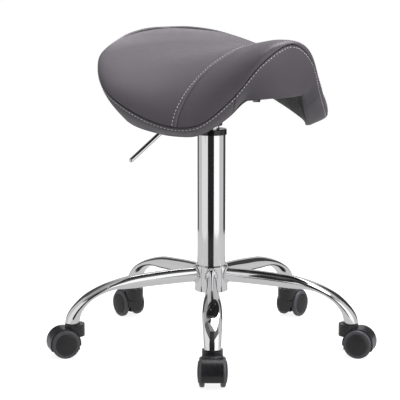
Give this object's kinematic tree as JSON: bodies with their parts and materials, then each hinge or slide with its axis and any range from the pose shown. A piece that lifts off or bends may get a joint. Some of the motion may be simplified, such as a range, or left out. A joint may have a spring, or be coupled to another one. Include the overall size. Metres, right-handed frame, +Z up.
{
  "type": "saddle stool",
  "caption": "Height-adjustable saddle stool: grey stitched saddle seat on a chrome gas-lift column with a lever, a star base of bent chrome legs and twin-wheel castors.",
  "frame": {"origin": "on the floor plane, straight under the centre of the column", "axes": "+Z up; the person sitting faces -Y, so the raised front of the saddle is towards -Y and +X is the sitter's left"},
  "size_m": [0.5765, 0.5608, 0.5686],
  "materials": {
    "chrome": "mirror-bright chromium plate",
    "bright_steel": "bright zinc-plated steel",
    "black_nylon": "moulded black nylon, light grain",
    "wheel_black": "moulded black nylon, dull",
    "tread_grey": "soft dark-grey polyurethane tread",
    "gloss_black": "glossy black moulding",
    "bush_plastic": "off-white acetal",
    "black_steel": "black powder coat",
    "spacer_rubber": "black rubber",
    "shell_black": "black moulded shell",
    "foam": "open-cell polyurethane foam, hidden under the upholstery",
    "grey_leather": "grey PU leather with a slight purple tint, white contrast stitching"
  },
  "bodies": {
    "base": {"base_hub": "chrome", "base_leg_1": "chrome", "base_leg_2": "chrome", "base_leg_3": "chrome", "base_leg_4": "chrome", "base_leg_5": "chrome", "castor_sockets": "chrome", "castor_stems": "bright_steel", "outer_tube": "chrome", "column_cap": "gloss_black", "guide_bush": "bush_plastic", "thrust_bearing": "bright_steel"},
    "spindle": {"piston_rod": "bright_steel", "retaining_clip": "bright_steel"},
    "seat": {"gas_cylinder": "chrome", "taper_socket": "black_steel", "seat_plate": "black_steel", "lever_pin": "bright_steel", "seat_bolts": "bright_steel", "seat_spacers": "spacer_rubber", "t_nuts": "bright_steel", "seat_shell": "shell_black", "seat_foam": "foam", "cover_front": "grey_leather", "cover_rear": "grey_leather", "side_band": "grey_leather", "front_panel": "grey_leather"},
    "lever": {"lever_rod": "chrome"},
    "valve": {"valve_pin": "bright_steel"},
    "castor_1": {"castor_1_hood": "black_nylon", "castor_1_axle": "bright_steel"},
    "castor_1_roller_left": {"castor_1_wheel_left": "wheel_black", "castor_1_tread_left": "tread_grey"},
    "castor_1_roller_right": {"castor_1_wheel_right": "wheel_black", "castor_1_tread_right": "tread_grey"},
    "castor_2": {"castor_2_hood": "black_nylon", "castor_2_axle": "bright_steel"},
    "castor_2_roller_left": {"castor_2_wheel_left": "wheel_black", "castor_2_tread_left": "tread_grey"},
    "castor_2_roller_right": {"castor_2_wheel_right": "wheel_black", "castor_2_tread_right": "tread_grey"},
    "castor_3": {"castor_3_hood": "black_nylon", "castor_3_axle": "bright_steel"},
    "castor_3_roller_left": {"castor_3_wheel_left": "wheel_black", "castor_3_tread_left": "tread_grey"},
    "castor_3_roller_right": {"castor_3_wheel_right": "wheel_black", "castor_3_tread_right": "tread_grey"},
    "castor_4": {"castor_4_hood": "black_nylon", "castor_4_axle": "bright_steel"},
    "castor_4_roller_left": {"castor_4_wheel_left": "wheel_black", "castor_4_tread_left": "tread_grey"},
    "castor_4_roller_right": {"castor_4_wheel_right": "wheel_black", "castor_4_tread_right": "tread_grey"},
    "castor_5": {"castor_5_hood": "black_nylon", "castor_5_axle": "bright_steel"},
    "castor_5_roller_left": {"castor_5_wheel_left": "wheel_black", "castor_5_tread_left": "tread_grey"},
    "castor_5_roller_right": {"castor_5_wheel_right": "wheel_black", "castor_5_tread_right": "tread_grey"}
  },
  "joints": [
    {"name": "seat_swivel", "type": "hinge", "parent": "base", "child": "spindle", "pos_m": [0, 0, 0.104], "axis": [0, 0, 1], "continuous": true},
    {"name": "seat_lift", "type": "slide", "parent": "spindle", "child": "seat", "axis": [0, 0, 1], "range_m": [0, 0.16]},
    {"name": "lever_pull", "type": "hinge", "parent": "seat", "child": "lever", "pos_m": [-0.034, 0, 0.4355], "axis": [0, 1, 0], "range_deg": [0, 4], "stiffness_Nm_per_rad": 3, "springref_deg": -6.88},
    {"name": "valve_press", "type": "slide", "parent": "seat", "child": "valve", "axis": [0, 0, -1], "range_m": [0, 0.0027]},
    {"name": "castor_1_swivel", "type": "hinge", "parent": "base", "child": "castor_1", "pos_m": [-0.16134, -0.19228, 0.05], "axis": [0, 0, 1], "continuous": true},
    {"name": "castor_1_spin_left", "type": "hinge", "parent": "castor_1", "child": "castor_1_roller_left", "pos_m": [-0.17419, -0.2076, 0.025], "axis": [0.766, -0.6428, 0], "continuous": true},
    {"name": "castor_1_spin_right", "type": "hinge", "parent": "castor_1", "child": "castor_1_roller_right", "pos_m": [-0.17419, -0.2076, 0.025], "axis": [0.766, -0.6428, 0], "continuous": true},
    {"name": "castor_2_swivel", "type": "hinge", "parent": "base", "child": "castor_2", "pos_m": [0.13301, -0.21286, 0.05], "axis": [0, 0, 1], "continuous": true},
    {"name": "castor_2_spin_left", "type": "hinge", "parent": "castor_2", "child": "castor_2_roller_left", "pos_m": [0.14361, -0.22982, 0.025], "axis": [0.848, 0.5299, 0], "continuous": true},
    {"name": "castor_2_spin_right", "type": "hinge", "parent": "castor_2", "child": "castor_2_roller_right", "pos_m": [0.14361, -0.22982, 0.025], "axis": [0.848, 0.5299, 0], "continuous": true},
    {"name": "castor_3_swivel", "type": "hinge", "parent": "base", "child": "castor_3", "pos_m": [0.24354, 0.06072, 0.05], "axis": [0, 0, 1], "continuous": true},
    {"name": "castor_3_spin_left", "type": "hinge", "parent": "castor_3", "child": "castor_3_roller_left", "pos_m": [0.26295, 0.06556, 0.025], "axis": [-0.2419, 0.9703, 0], "continuous": true},
    {"name": "castor_3_spin_right", "type": "hinge", "parent": "castor_3", "child": "castor_3_roller_right", "pos_m": [0.26295, 0.06556, 0.025], "axis": [-0.2419, 0.9703, 0], "continuous": true},
    {"name": "castor_4_swivel", "type": "hinge", "parent": "base", "child": "castor_4", "pos_m": [0.01751, 0.25039, 0.05], "axis": [0, 0, 1], "continuous": true},
    {"name": "castor_4_spin_left", "type": "hinge", "parent": "castor_4", "child": "castor_4_roller_left", "pos_m": [0.0189, 0.27034, 0.025], "axis": [-0.9976, 0.0698, 0], "continuous": true},
    {"name": "castor_4_spin_right", "type": "hinge", "parent": "castor_4", "child": "castor_4_roller_right", "pos_m": [0.0189, 0.27034, 0.025], "axis": [-0.9976, 0.0698, 0], "continuous": true},
    {"name": "castor_5_swivel", "type": "hinge", "parent": "base", "child": "castor_5", "pos_m": [-0.23272, 0.09403, 0.05], "axis": [0, 0, 1], "continuous": true},
    {"name": "castor_5_spin_left", "type": "hinge", "parent": "castor_5", "child": "castor_5_roller_left", "pos_m": [-0.25127, 0.10152, 0.025], "axis": [-0.3746, -0.9272, 0], "continuous": true},
    {"name": "castor_5_spin_right", "type": "hinge", "parent": "castor_5", "child": "castor_5_roller_right", "pos_m": [-0.25127, 0.10152, 0.025], "axis": [-0.3746, -0.9272, 0], "continuous": true}
  ],
  "couplings": [
    {"joint": "valve_press", "follows": "lever_pull", "m_per_rad": 0.0375}
  ]
}
